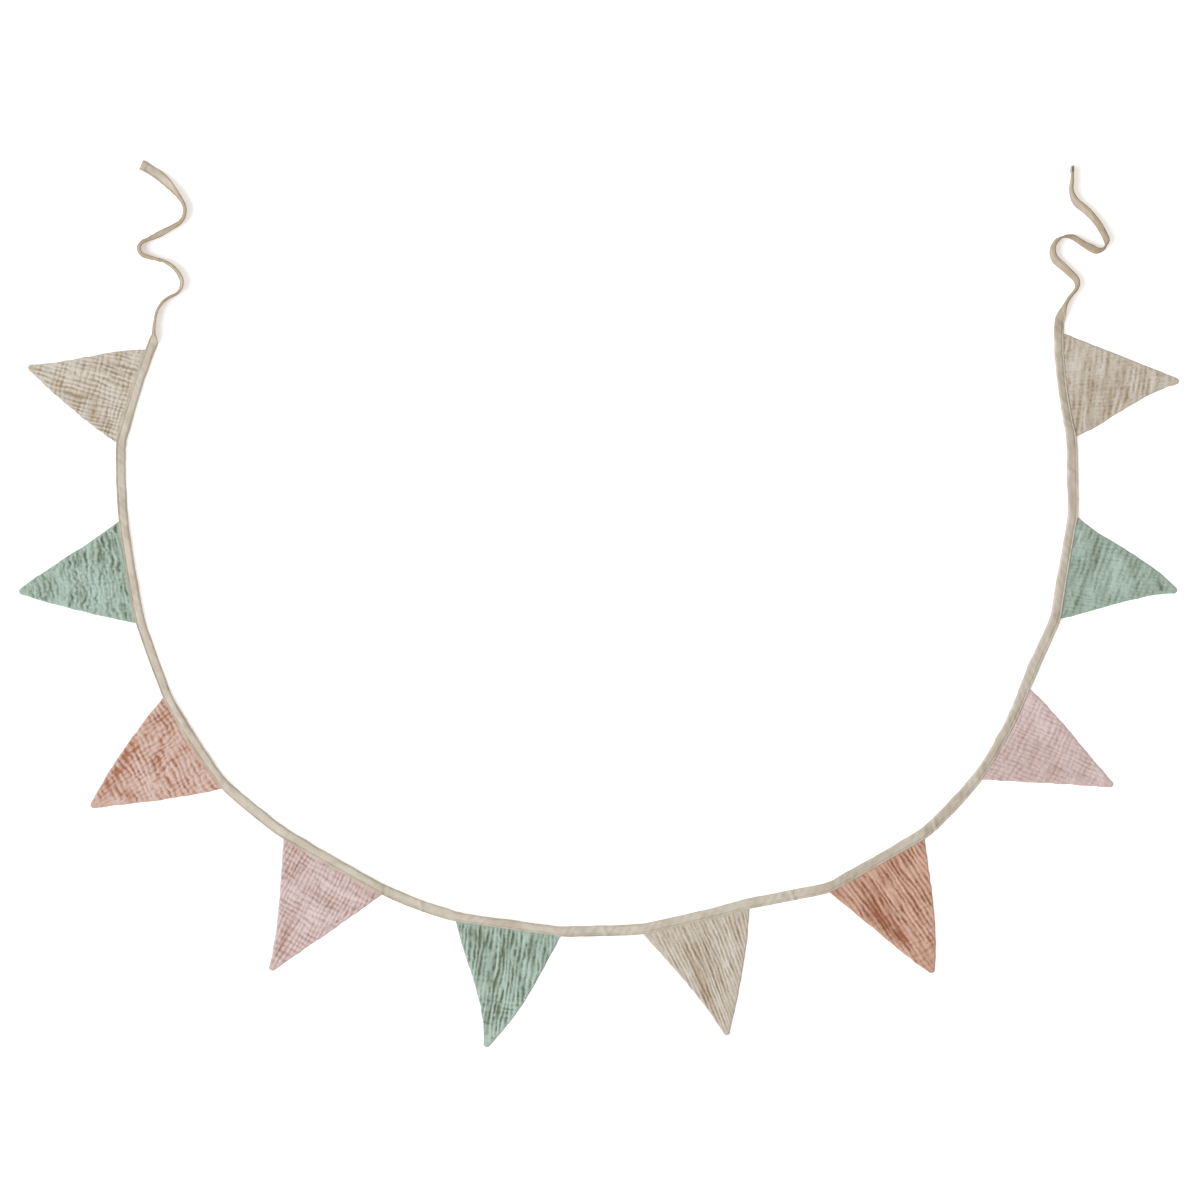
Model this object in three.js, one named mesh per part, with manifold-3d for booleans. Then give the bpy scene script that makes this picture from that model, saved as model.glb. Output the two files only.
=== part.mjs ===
// Fabric bunting: ten crinkled gauze pennants sewn into one folded cotton binding tape.
// It lies on a surface in an open U with the flags pointing outwards, and the tape runs on past the
// outer flags as two loose ties that stand on edge in soft bends.
// Millimetres, +Z up, underside at Z = 0, centred over its own footprint.

import * as THREE from 'three';
import Module from 'manifold-3d';

// Turns rows of values into objects with named columns
const named = (columns, row) => Object.fromEntries(columns.map((name, i) => [name, row[i]]));
const table = (columns, rows) => rows.map((row) => named(columns, row));

// Binding tape: folded width, thickness where it is sewn shut, round a flag and at a hemmed end
const TAPE_WIDTH = 13;
const SHUT_THICKNESS = 2.2;
const FLAG_THICKNESS = 3.6;
const HEM_THICKNESS = 3.4;
const HEM_LENGTH = 9;
const THICKNESS_EASE = 6;
const FOLD_ROUNDING = 0.9;
const FOLD_FLAT_SHARE = 0.36;

// Longest step and largest turn or twist between two cross-sections of the tape, and the closest two may be
const TAPE_STEP = 26;
const TURN_STEP = 15;
const CLOSEST_STEP = 0.5;

// The swell of the tape round a flag starts this far past the flag's corner
const SWELL_LEAD = 1;

// Pocket between the two limbs of the tape that takes the base of a flag
const POCKET_BOTTOM = 1.0;
const POCKET_TOP = 2.6;
const POCKET_DEPTH = 7.2;
const POCKET_END_CLEARANCE = 0.6;
const POCKET_OVERSHOOT = 3;

// Flag cloth: sewn-in tongue, pressed edge, rounded tip, and the heights of the crinkle
const TONGUE_LENGTH = 6.5;
const TONGUE_BOTTOM = 1.3;
const TONGUE_TOP = 2.3;
const LIP_EASE = 6;
const EDGE_HEIGHT = 1.5;
const TIP_RADIUS = 4.5;
const TIP_ROW_DROPS = [0.45, 0.06];
const CREST_HEIGHT = 2.4;
const CREST_SPREAD = 0.35;
const TROUGH_HEIGHT = 1.45;
const TROUGH_SPREAD = 0.2;
const PITCH_SPREAD = 0.25;
const LAST_RIB_SHARE = 0.4;
const POINT_STEP = 13;
const BISECTIONS = 30;

// Start of the tape at the free end of the left tie: place and heading
const START = { x: -599.89, y: 575.61, heading: -27, roll: 0 };

// Left tie from its free end: length, and heading and roll at the far end (roll 0 flat, 90 on edge)
const LEFT_TIE = table(['length', 'heading', 'roll'], [
  [12, -30, 0],
  [63, -59, -68],
  [35, -151, -60],
  [24, -154, -46],
  [24, -157, -62],
  [24, -19, -70],
  [21, -13, -79],
  [38, -67, -66],
  [28, -160, -68],
  [36, -103, -73],
  [24, -90, -66],
  [14, -109, 0],
]);

// Right tie from the last flag to its free end; it leans to either side, so the roll swings past 90
const RIGHT_TIE = table(['length', 'heading', 'roll'], [
  [32, 60, 80],
  [17, 47, 80],
  [21, 135, 58],
  [29, 140, 48],
  [29, 53.5, 74],
  [29, -33, 112],
  [28, -29, 126],
  [14.5, 42, 104],
  [14.5, 113, 66],
  [56, 144, 52],
  [29, 82, 82],
  [14, 90, 90],
  [12, 90, 90],
]);

// The tape lies straight along each flag and between flags, and turns at a flag's corner over this length
const CORNER_BEND = 20;

// Flags from the left tie round to the right one: cloth, length of the base along the tape with the heading
// of its start and end, gap to the next flag with its headings, tip from the first corner along and out from
// the base, crinkle direction, rib pitch and lean of the ribs from square in degrees
const FLAGS = table([
  'cloth', 'base', 'from', 'to', 'gap', 'gapFrom', 'gapTo', 'tipAlong', 'height', 'grain', 'pitch', 'lean',
], [
  ['beige', 127, -109, -106, 101, -91, -85, 67, 140.5, 'across', 8.5, 0],
  ['sage', 135, -82, -79, 102, -72, -68, 69.5, 144.5, 'across', 8, 0],
  ['peach', 141, -61, -53, 102, -41, -37, 68.5, 157.5, 'across', 8, 0],
  ['pink', 148, -30, -29, 101, -24, -16, 70.5, 159, 'along', 8.5, 0],
  ['sage', 138, -8, -8, 106, 1, 2, 62.5, 158.5, 'along', 8, 2],
  ['beige', 143, 12, 15, 106, 11, 11, 77.5, 155.5, 'along', 8, 9],
  ['terracotta', 142, 29, 30, 105, 42, 51, 67, 159, 'along', 9.5, 5],
  ['pink', 134, 55, 69, 99, 67, 65, 74.5, 156.5, 'along', 8.5, 2],
  ['sage', 135, 81, 80, 103, 90, 92, 62, 145.5, 'across', 9, 0],
  ['beige', 138, 103, 91, 0, 85, 85, 57, 143, 'across', 8.5, 0],
]);

// How far each side of a flag bows outwards a third and two thirds of the way to its tip, and the gain
// that makes a cubic curve reach those values there
const BOW_GAIN = 27 / 4;
const BOWS = table(['firstLow', 'firstHigh', 'secondLow', 'secondHigh'], [
  [3.8, -2.8, 2.4, 1.9],
  [-1.3, 1, 0.5, 1.9],
  [2.2, 3.1, 2, 0.8],
  [-0.5, -3.7, 0.4, 0],
  [0.5, -7.6, 2.1, 6],
  [-1.7, -3.6, 3.2, 1.8],
  [-0.7, 2.1, 1, 4.8],
  [-0.4, -0.5, 2.3, -0.4],
  [0, -4.3, -2.7, 5.2],
  [2, -5.4, 0.9, 0],
]);

const COLOURS = {
  tape: 0xc9bda9,
  beige: 0xc0b5a3,
  sage: 0x9cb0a0,
  peach: 0xc8a899,
  terracotta: 0xbf9881,
  pink: 0xcdb5b1,
};

const radians = THREE.MathUtils.degToRad;
const { clamp, lerp, smoothstep } = THREE.MathUtils;

// Chord of an arc as a share of its length
const chordShare = (turn) => (Math.abs(turn) < 1e-6 ? 1 : Math.sin(turn / 2) / (turn / 2));

// A repeatable value between -1 and 1 for a pair of numbers
function uneven(a, b) {
  const wave = Math.sin(a * 12.9898 + b * 78.233) * 43758.5453;
  return 2 * (wave - Math.floor(wave)) - 1;
}

// Lays the stretches of the tape end to end and marks where each flag's base starts and ends
function layRoute() {
  const stretches = [];
  const bases = [];
  let end = { ...START, station: 0 };
  const add = (length, heading, roll) => {
    const turn = radians(heading - end.heading);
    stretches.push({ ...end, length, turn, endRoll: roll });
    const chord = length * chordShare(turn);
    const middle = radians(end.heading) + turn / 2;
    end = {
      x: end.x + chord * Math.cos(middle),
      y: end.y + chord * Math.sin(middle),
      heading,
      roll,
      station: end.station + length,
    };
  };
  for (const row of LEFT_TIE) add(row.length, row.heading, row.roll);
  for (const flag of FLAGS) {
    add(CORNER_BEND, flag.from, 0);
    const start = end.station - CORNER_BEND / 2;
    bases.push({ start, end: start + flag.base });
    add(flag.base - CORNER_BEND, flag.to, 0);
    add(CORNER_BEND, flag.gapFrom, 0);
    if (flag.gap > 0) add(flag.gap - CORNER_BEND, flag.gapTo, 0);
  }
  for (const row of RIGHT_TIE) add(row.length, row.heading, row.roll);
  return { stretches, bases, length: end.station };
}

const route = layRoute();

// Place, heading and roll of the tape's middle line at a station along it, in radians
function poseAt(station) {
  const stretch = route.stretches.findLast((s) => s.station <= station) ?? route.stretches[0];
  const share = (station - stretch.station) / stretch.length;
  const turned = stretch.turn * share;
  const chord = stretch.length * share * chordShare(turned);
  const middle = radians(stretch.heading) + turned / 2;
  return {
    x: stretch.x + chord * Math.cos(middle),
    y: stretch.y + chord * Math.sin(middle),
    heading: radians(stretch.heading) + turned,
    roll: radians(lerp(stretch.roll, stretch.endRoll, smoothstep(share, 0, 1))),
  };
}

// Point beside the tape's middle line, across it to the right of its run and level with the surface
function beside(station, across) {
  const pose = poseAt(station);
  return new THREE.Vector2(
    pose.x + across * Math.sin(pose.heading),
    pose.y - across * Math.cos(pose.heading),
  );
}

function tapeThickness(station) {
  const fromFlag = Math.min(...route.bases.map((b) => Math.max(b.start - station, station - b.end, 0)));
  const fromEnd = Math.min(station, route.length - station);
  const flagPart = 1 - clamp((fromFlag - SWELL_LEAD) / THICKNESS_EASE, 0, 1);
  const hemPart = fromEnd <= HEM_LENGTH ? 1 : 0;
  const flagSwell = (FLAG_THICKNESS - SHUT_THICKNESS) * flagPart;
  const hemSwell = (HEM_THICKNESS - SHUT_THICKNESS) * hemPart;
  return SHUT_THICKNESS + Math.max(flagSwell, hemSwell);
}

// Cross-section of the folded tape: open lip on the outside of the U, rounded fold on the inside
function tapeSection(station) {
  const half = TAPE_WIDTH / 2;
  const thick = tapeThickness(station);
  const outline = [
    [half, 0],
    [half, thick],
    [-half + FOLD_ROUNDING, thick],
    [-half, thick * (1 + FOLD_FLAT_SHARE) / 2],
    [-half, thick * (1 - FOLD_FLAT_SHARE) / 2],
    [-half + FOLD_ROUNDING, 0],
  ];
  return rolledSection(station, outline.map(([across, up]) => [across, up - thick / 2]));
}

// Rolls a section about the tape's middle line and sets its lowest edge on the surface
function rolledSection(station, outline) {
  const { roll } = poseAt(station);
  const turned = outline.map(([across, up]) => ({
    across: across * Math.cos(roll) - up * Math.sin(roll),
    up: across * Math.sin(roll) + up * Math.cos(roll),
  }));
  const lowest = Math.min(...turned.map((point) => point.up));
  return turned.map((point) => {
    const place = beside(station, point.across);
    return [place.x, place.y, point.up - lowest];
  });
}

// Stations where the tape gets a cross-section, closer where it bends, rolls or changes thickness
function tapeStations() {
  const marks = [];
  for (const fromEnd of [0, HEM_LENGTH, HEM_LENGTH + 1]) marks.push(fromEnd, route.length - fromEnd);
  for (const base of route.bases) {
    for (const lead of [SWELL_LEAD, SWELL_LEAD + THICKNESS_EASE]) {
      marks.push(base.start - lead, base.end + lead);
    }
  }
  for (const s of route.stretches) {
    const bend = Math.abs(THREE.MathUtils.radToDeg(s.turn));
    const twist = Math.abs(s.endRoll - s.roll);
    const parts = Math.ceil(Math.max(s.length / TAPE_STEP, bend / TURN_STEP, twist / TURN_STEP));
    for (let i = 1; i < parts; i += 1) marks.push(s.station + (s.length * i) / parts);
  }
  return marks.sort((a, b) => a - b).filter((mark, i, all) => i === 0 || mark - all[i - 1] > CLOSEST_STEP);
}

// Closed geometry from points and faces, turned so that its faces point out
function closedGeometry(points, faces) {
  const corners = faces.map((face) => face.map((id) => new THREE.Vector3(...points[id])));
  const volume = corners.reduce((sum, [a, b, c]) => sum + a.dot(b.clone().cross(c)), 0);
  const turned = volume < 0 ? faces.map(([a, b, c]) => [a, c, b]) : faces;
  const geometry = new THREE.BufferGeometry();
  geometry.setAttribute('position', new THREE.Float32BufferAttribute(points.flat(), 3));
  geometry.setIndex(turned.flat());
  geometry.computeVertexNormals();
  return geometry;
}

// Joins equal rings of points into a closed bar with flat ends
function barGeometry(rings) {
  const count = rings[0].length;
  const faces = [];
  for (let k = 0; k + 1 < rings.length; k += 1) {
    for (let i = 0; i < count; i += 1) {
      const a = k * count + i;
      const b = k * count + ((i + 1) % count);
      faces.push([a, b, b + count], [a, b + count, a + count]);
    }
  }
  const last = (rings.length - 1) * count;
  for (let i = 1; i + 1 < count; i += 1) {
    faces.push([0, i + 1, i], [last, last + i, last + i + 1]);
  }
  return closedGeometry(rings.flat(), faces);
}

const wasm = await Module();
wasm.setup();

function toSolid(geometry) {
  return new wasm.Manifold(new wasm.Mesh({
    numProp: 3,
    vertProperties: new Float32Array(geometry.getAttribute('position').array),
    triVerts: new Uint32Array(geometry.getIndex().array),
  }));
}

function toGeometry(solid) {
  const mesh = solid.getMesh();
  const geometry = new THREE.BufferGeometry();
  geometry.setAttribute('position', new THREE.Float32BufferAttribute(mesh.vertProperties, 3));
  geometry.setIndex(Array.from(mesh.triVerts));
  geometry.computeVertexNormals();
  return geometry;
}

// The tape is one bar along its route, with a pocket for the base of each flag
function tapeGeometry() {
  const stations = tapeStations();
  let solid = toSolid(barGeometry(stations.map(tapeSection)));
  for (const base of route.bases) {
    const from = base.start - POCKET_END_CLEARANCE;
    const to = base.end + POCKET_END_CLEARANCE;
    const inside = stations.filter((s) => s > from + 1 && s < to - 1);
    const mouth = TAPE_WIDTH / 2 + POCKET_OVERSHOOT;
    const bottom = TAPE_WIDTH / 2 - POCKET_DEPTH;
    const corners = [
      [mouth, POCKET_BOTTOM],
      [mouth, POCKET_TOP],
      [bottom, POCKET_TOP],
      [bottom, POCKET_BOTTOM],
    ];
    const rings = [from, ...inside, to].map((station) => corners.map(([across, up]) => {
      const place = beside(station, across);
      return [place.x, place.y, up];
    }));
    solid = solid.subtract(toSolid(barGeometry(rings)));
  }
  return toGeometry(solid);
}

// Outline of a flag: its two sides as distances along the base for a height above it
function flagOutline(flag, bow, width) {
  const centre = new THREE.Vector2(flag.tipAlong, flag.height - TIP_RADIUS);
  const side = (corner, sign, low, high) => {
    const reach = centre.clone().sub(corner);
    const swing = Math.asin(TIP_RADIUS / reach.length());
    const angle = reach.angle() - sign * swing;
    const run = Math.sqrt(reach.lengthSq() - TIP_RADIUS ** 2);
    const touch = new THREE.Vector2(Math.cos(angle), Math.sin(angle)).multiplyScalar(run).add(corner);
    return (up) => {
      if (up <= 0) return corner.x;
      if (up >= touch.y) {
        return centre.x + sign * Math.sqrt(Math.max(TIP_RADIUS ** 2 - (up - centre.y) ** 2, 0));
      }
      const share = up / touch.y;
      const belly = BOW_GAIN * share * (1 - share) * (low * (1 - share) + high * share);
      return lerp(corner.x, touch.x, share) + sign * belly;
    };
  };
  return {
    first: side(new THREE.Vector2(0, 0), -1, bow.firstLow, bow.firstHigh),
    second: side(new THREE.Vector2(width, 0), 1, bow.secondLow, bow.secondHigh),
  };
}

// Positions of the troughs and crests of the crinkle across a span, by turns, with an uneven pitch
function ribLines(span, pitch, seed) {
  const lines = [];
  let at = 0;
  while (at < span - pitch * LAST_RIB_SHARE) {
    lines.push(at);
    at += (pitch / 2) * (1 + PITCH_SPREAD * uneven(lines.length, seed));
  }
  return [...lines, span];
}

// Splits a stretch into even steps and gives the inner places
function innerSteps(from, to) {
  const parts = Math.round((to - from) / POINT_STEP);
  return Array.from({ length: Math.max(parts - 1, 0) }, (_, i) => from + ((to - from) * (i + 1)) / parts);
}

// Rows of a flag whose ribs run from its base towards its tip
function rowsAlong(flag, outline, width, seed) {
  const slope = Math.tan(radians(flag.lean));
  return ribLines(width, flag.pitch, seed).map((start, k) => {
    const at = (up) => start + slope * Math.max(up, 0);
    let low = 0;
    let high = flag.height;
    for (let i = 0; i < BISECTIONS; i += 1) {
      const middle = (low + high) / 2;
      const inside = at(middle) > outline.first(middle) && at(middle) < outline.second(middle);
      if (inside) low = middle;
      else high = middle;
    }
    const points = [-TONGUE_LENGTH, 0];
    if (low > LIP_EASE + 1) points.push(LIP_EASE, ...innerSteps(LIP_EASE, low));
    if (low > 1) points.push(low);
    const corners = new Set([-TONGUE_LENGTH, 0, LIP_EASE, points.at(-1)]);
    return points.map((up, i) => ({
      along: at(up),
      up,
      order: up,
      crest: k % 2 === 1,
      spread: uneven(k + 0.5, i + seed),
      onEdge: i === points.length - 1,
      below: corners.has(up),
    }));
  });
}

// Rows of a flag whose ribs run side to side, level with its base
function rowsAcross(flag, outline, width, seed) {
  const tipRows = TIP_ROW_DROPS.map((drop) => flag.height - TIP_RADIUS * drop);
  const ribs = ribLines(flag.height - TIP_RADIUS - LIP_EASE, flag.pitch, seed).map((up) => up + LIP_EASE);
  const heights = [-TONGUE_LENGTH, 0, ...ribs, ...tipRows];
  return heights.map((up, k) => {
    const from = outline.first(up);
    const to = outline.second(up);
    const points = [from, ...innerSteps(from, to), to];
    return points.map((along, i) => ({
      along,
      up,
      order: along,
      crest: k % 2 === 0,
      spread: uneven(k + 0.5, i + seed),
      onEdge: (i === 0 || i === points.length - 1) && up > 0,
      below: up <= LIP_EASE || i === 0 || i === points.length - 1,
    }));
  });
}

// Height of a flag's upper face at one of its points, easing out of the tape over a short ramp
function topHeight(point) {
  if (point.up <= 0) return TONGUE_TOP;
  const crest = CREST_HEIGHT + CREST_SPREAD * point.spread;
  const trough = TROUGH_HEIGHT + TROUGH_SPREAD * point.spread;
  const cloth = point.onEdge ? EDGE_HEIGHT : (point.crest ? crest : trough);
  return lerp(TONGUE_TOP, cloth, clamp(point.up / LIP_EASE, 0, 1));
}

const bottomHeight = (point) => TONGUE_BOTTOM * (1 - clamp(point.up / LIP_EASE, 0, 1));

// Fills the strip between two rows, each sorted along itself, with triangles
function stripFaces(rowA, rowB) {
  const faces = [];
  let i = 0;
  let j = 0;
  while (i + 1 < rowA.length || j + 1 < rowB.length) {
    const stepA = j + 1 === rowB.length || (i + 1 < rowA.length && rowA[i + 1].order <= rowB[j + 1].order);
    if (stepA) {
      faces.push([rowA[i].id, rowA[i + 1].id, rowB[j].id]);
      i += 1;
    } else {
      faces.push([rowA[i].id, rowB[j + 1].id, rowB[j].id]);
      j += 1;
    }
  }
  return faces;
}

// One flag in its own frame: X along its base from the first corner, -Y out to its tip
function flagGeometry(flag, bow, index) {
  const base = route.bases[index];
  const corner = beside(base.start, TAPE_WIDTH / 2);
  const chord = beside(base.end, TAPE_WIDTH / 2).sub(corner);
  const width = chord.length();
  const heading = chord.angle();
  const outline = flagOutline(flag, bow, width);
  const makeRows = flag.grain === 'along' ? rowsAlong : rowsAcross;
  const rows = makeRows(flag, outline, width, index + 1);

  // The base follows the bend of the tape, and the bend fades out towards the tip
  const place = (point) => {
    const station = lerp(base.start, base.end, point.along / width);
    const across = TAPE_WIDTH / 2 + Math.min(point.up, 0);
    const seat = beside(clamp(station, base.start, base.end), across).sub(corner);
    seat.rotateAround(new THREE.Vector2(), -heading);
    if (point.up <= 0) return [seat.x, seat.y];
    const fade = (1 - point.up / flag.height) ** 2;
    return [point.along, seat.y * fade - point.up];
  };

  const points = [];
  const addLayer = (row, height) => row.map((point) => {
    points.push([...place(point), height(point)]);
    return { ...point, id: points.length - 1 };
  });
  const top = rows.map((row) => addLayer(row, topHeight));
  const bottom = rows.map((row, k) => {
    const outer = k === 0 || k === rows.length - 1;
    return addLayer(row.filter((point) => outer || point.below), bottomHeight);
  });

  const faces = [];
  const wall = (a, b, c, d) => faces.push([a.id, b.id, c.id], [a.id, c.id, d.id]);
  for (let k = 0; k + 1 < rows.length; k += 1) {
    faces.push(...stripFaces(top[k], top[k + 1]));
    faces.push(...stripFaces(bottom[k], bottom[k + 1]).map(([a, b, c]) => [a, c, b]));
    wall(top[k][0], top[k + 1][0], bottom[k + 1][0], bottom[k][0]);
    wall(top[k + 1].at(-1), top[k].at(-1), bottom[k].at(-1), bottom[k + 1].at(-1));
  }
  const endWall = (upper, lower, step) => {
    for (let i = 0; i + 1 < upper.length; i += 1) {
      const [from, to] = step > 0 ? [i, i + 1] : [i + 1, i];
      wall(upper[from], upper[to], lower[to], lower[from]);
    }
  };
  endWall(top[0], bottom[0], -1);
  endWall(top.at(-1), bottom.at(-1), 1);
  return { geometry: closedGeometry(points, faces), corner, heading };
}

function cloth(name) {
  return new THREE.MeshStandardMaterial({ color: COLOURS[name], roughness: 0.95, metalness: 0 });
}

const bunting = new THREE.Group();

const tape = new THREE.Mesh(tapeGeometry(), cloth('tape'));
tape.name = 'binding_tape';
bunting.add(tape);

FLAGS.forEach((flag, index) => {
  const { geometry, corner, heading } = flagGeometry(flag, BOWS[index], index);
  const mesh = new THREE.Mesh(geometry, cloth(flag.cloth));
  mesh.name = `flag_${String(index + 1).padStart(2, '0')}`;
  mesh.position.set(corner.x, corner.y, 0);
  mesh.rotation.z = heading;
  bunting.add(mesh);
});

export default bunting;
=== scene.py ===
# Fabric bunting seen from above: ten crinkled gauze flags sewn into one folded cotton binding tape.
# It lies in an open U with the flags pointing outwards, and the tape ends in two loose ties.
# Tables are in millimetres and degrees; meshes are in metres, +Z up, lying on Z = 0.

import math
from dataclasses import dataclass

import bpy
import numpy as np
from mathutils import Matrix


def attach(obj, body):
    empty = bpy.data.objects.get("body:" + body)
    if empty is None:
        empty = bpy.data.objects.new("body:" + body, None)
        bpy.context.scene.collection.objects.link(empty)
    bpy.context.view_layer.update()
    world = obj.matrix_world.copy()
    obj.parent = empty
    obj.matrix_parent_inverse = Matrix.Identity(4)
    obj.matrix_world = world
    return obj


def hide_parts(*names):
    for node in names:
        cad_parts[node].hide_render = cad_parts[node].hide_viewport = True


MM = 0.001

# Binding tape: folded width, thickness where it is sewn shut, round a flag and at a hemmed end, thickness of
# one limb of the fold, lengths over which the thickness changes, and the step between two cross-sections
TAPE_WIDTH = 13.0
HALF_WIDTH = TAPE_WIDTH / 2
SHUT_THICKNESS = 2.1
FLAG_THICKNESS = 3.5
HEM_THICKNESS = 3.3
HEM_LENGTH = 8.0
LIMB_THICKNESS = 0.95
LIMB_SHARE = 0.46
SWELL_LEAD = 1.0
SWELL_EASE = 16.0
HEM_EASE = 1.2
TAPE_STEP = 1.8

# Form of the folded tape: rounding of the fold, drop of the open lip, crown on a tie and in a gap, how far
# in from the stitches the crown rises, and how gently one run of the tape eases into the next
FOLD_ROUNDING = 3.2
LIP_DROP = 0.22
LIP_WIDTH = 0.7
TIE_CROWN = 0.6
GAP_CROWN = 1.0
CROWN_REACH = 10.0
RUN_EASE = 14.0

# Puckers of the tape: slanting drag lines with their pitch, slant and sway, short ripples and longer pulls
DRAG_HEIGHT = 0.34
DRAG_PITCH = 11.5
DRAG_SLANT = 0.9
DRAG_SWAY = 5.0
RIPPLE_HEIGHT = 0.36
PULL_HEIGHT = 0.5
UNDERSIDE_RIPPLE = 0.05

# Share of the tape's dark colour: painted shade on a tie and its own tone along the rest, its own uneven
# tone from mottling, painted shade by the stitches, at an edge and where the tape stands upright, a painted
# highlight on a crease
TIE_PAINTED_SHADE = 0.26
RUN_SHADE = 0.07
MOTTLE_SHADE = 0.2
GROOVE_PAINTED_SHADE = 0.28
EDGE_PAINTED_SHADE = 0.35
UPRIGHT_EDGE_PAINTED_SHADE = 0.3
UPRIGHT_PAINTED_SHADE = 0.65
CREASE_PAINTED_LIGHT_AND_SHADE = 0.25
PAINTED_SHADE_WIDTH = 0.9

# Sewing: distance of the stitch line from the open lip, the groove it pulls into the cloth, the size of one
# stitch, how far it twists and stands out, and the places of the line across a hem
STITCH_INSET = 2.3
STITCH_LINE = HALF_WIDTH - STITCH_INSET
GROOVE_DEPTH = 0.42
GROOVE_WIDTH = 1.0
LOWER_GROOVE_SHARE = 0.6
STITCH_PITCH = 3.0
STITCH_LENGTH = 2.3
STITCH_RADIUS = 0.28
STITCH_SIDES = 6
STITCH_TWIST = 7.0
STITCH_RISE_ABOVE = 0.08
STITCH_RISE_BELOW = 0.02
SURFACE_CLEARANCE = 0.02
HEM_LINE_INSET = 1.2
HEM_LINE_FROM_FOLD = 1.6
HEM_LINE_FROM_STITCHES = 1.0

# Rings of one stitch: place along it, thickness as a share of the whole, and rise above its seat
STITCH_RINGS = [
    (-0.5, 0.55, -0.3),
    (-0.3, 0.95, 0.0),
    (0.0, 1.0, 0.06),
    (0.3, 0.95, 0.0),
    (0.5, 0.55, -0.3),
]

# Flag cloth: sewn-in tongue, height of the crests, least thickness, rolled and pressed seam edges, rounded
# tip, gain that makes a side's curve reach its bows, and the step between two points
TONGUE_LENGTH = 6.5
TONGUE_ROWS = (-TONGUE_LENGTH, -3.2, -1.2)
TONGUE_BOTTOM = 1.3
TONGUE_MIDDLE = 1.8
LIP_EASE = 6.0
CLOTH_TOP = 2.3
LOWEST_TOP = 0.5
LEAST_THICKNESS = 0.4
EDGE_MIDDLE = 0.7
EDGE_ROLL = 2.2
EDGE_PRESS = 4.5
BASE_PRESS = 5.0
TIP_FLAT = 4.0
TIP_PRESS = 16.0
SEAM_WAVE = 0.75
SEAM_WAVE_PITCH = 7.5
SEAM_WAVE_FROM_BASE = 12.0
SEAM_WAVE_FROM_TIP = 14.0
TIP_RADIUS = 4.5
TIP_ROWS = np.array([0.98, 0.8, 0.62, 0.45, 0.3, 0.17, 0.07, 0.015])
BOW_GAIN = 27 / 4
POINT_STEP = 0.85

# Crinkle: height of a deep valley on the upper and the lower cloth, fine fuzz, mean depth of a rib, lengths
# over which ribs jog, change and break up, and the painted shade that darkens the valleys and lightens the
# crests
RELIEF = 1.15
LOWER_RELIEF = 0.35 * RELIEF
FUZZ = 0.12
RIB_MEAN = 0.36
RIB_JOG_LENGTH = 5.0
RIB_PART_LENGTH = 11.0
RIB_DASH_LENGTH = 4.5
RIB_PATCH_SIZE = 24.0
RIB_SET_IN = 25.0
SWELL_GAIN = 0.9
SWELL_JOG_LENGTH = 5.5
CREASE_BEND_LENGTH = 7.0
FAN_LENGTH = 150.0
STEEP = 45.0
PAINTED_SHADE_LEVEL = 0.34
PAINTED_SHADE_GAIN = 0.68
PAINTED_SHADE_LIMIT = 1.2

# Start of the tape at the free end of the left tie: place and heading
START_X, START_Y, START_HEADING = -599.89, 575.61, -27.0

# Ties: length, and heading and roll at the far end of each stretch (roll 0 flat, 90 on edge)
LEFT_TIE = [
    (12, -30, 0),
    (63, -59, -68),
    (35, -151, -60),
    (24, -154, -46),
    (24, -157, -62),
    (24, -19, -70),
    (21, -13, -79),
    (38, -67, -66),
    (28, -160, -68),
    (36, -103, -73),
    (24, -90, -66),
    (14, -109, 0),
]
RIGHT_TIE = [
    (32, 60, 80),
    (17, 47, 80),
    (21, 135, 58),
    (29, 140, 48),
    (29, 53.5, 74),
    (29, -33, 112),
    (28, -29, 126),
    (14.5, 42, 104),
    (14.5, 113, 66),
    (56, 144, 52),
    (29, 82, 82),
    (14, 90, 90),
    (12, 90, 90),
]

# The tape lies straight along each flag and between flags, and turns at a flag's corner over this length
CORNER_BEND = 20.0


@dataclass
class Flag:
    """A flag's cloth, its base along the tape and the gap after it, its tip, and the bows of its sides.

    The base and the gap have the tape's heading at their start and end. The tip is measured along and
    out from the first corner. Each side bows outwards a third and two thirds of the way to the tip.
    """

    cloth: str
    base: float
    base_from: float
    base_to: float
    gap: float
    gap_from: float
    gap_to: float
    tip_along: float
    height: float
    first_bow: tuple
    second_bow: tuple


FLAGS = [
    Flag("beige", 127, -109, -106, 101, -91, -85, 67, 140.5, (3.8, -2.8), (2.4, 1.9)),
    Flag("sage", 135, -82, -79, 102, -72, -68, 69.5, 144.5, (-1.3, 1), (0.5, 1.9)),
    Flag("peach", 141, -61, -53, 102, -41, -37, 68.5, 157.5, (2.2, 3.1), (2, 0.8)),
    Flag("pink", 148, -30, -29, 101, -24, -16, 70.5, 159, (-0.5, -3.7), (0.4, 0)),
    Flag("sage", 138, -8, -8, 106, 1, 2, 62.5, 158.5, (0.5, -7.6), (2.1, 6)),
    Flag("beige", 143, 12, 15, 106, 11, 11, 77.5, 155.5, (-1.7, -3.6), (3.2, 1.8)),
    Flag("terracotta", 142, 29, 30, 105, 42, 51, 67, 159, (-0.7, 2.1), (1, 4.8)),
    Flag("pink", 134, 55, 69, 99, 67, 65, 74.5, 156.5, (-0.4, -0.5), (2.3, -0.4)),
    Flag("sage", 135, 81, 80, 103, 90, 92, 62, 145.5, (0, -4.3), (-2.7, 5.2)),
    Flag("beige", 138, 103, 91, 0, 85, 85, 57, 143, (2, -5.4), (0.9, 0)),
]
GAPS = len(FLAGS) - 1


@dataclass
class TapeRun:
    """How the tape lies along one flag and in the gap after it.

    Its columns are the height of its crown and how far its fold is drawn in along the flag, and how
    far its lip spreads in the gap.
    """

    crown: float
    drawn_in: float
    spread: float


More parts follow.
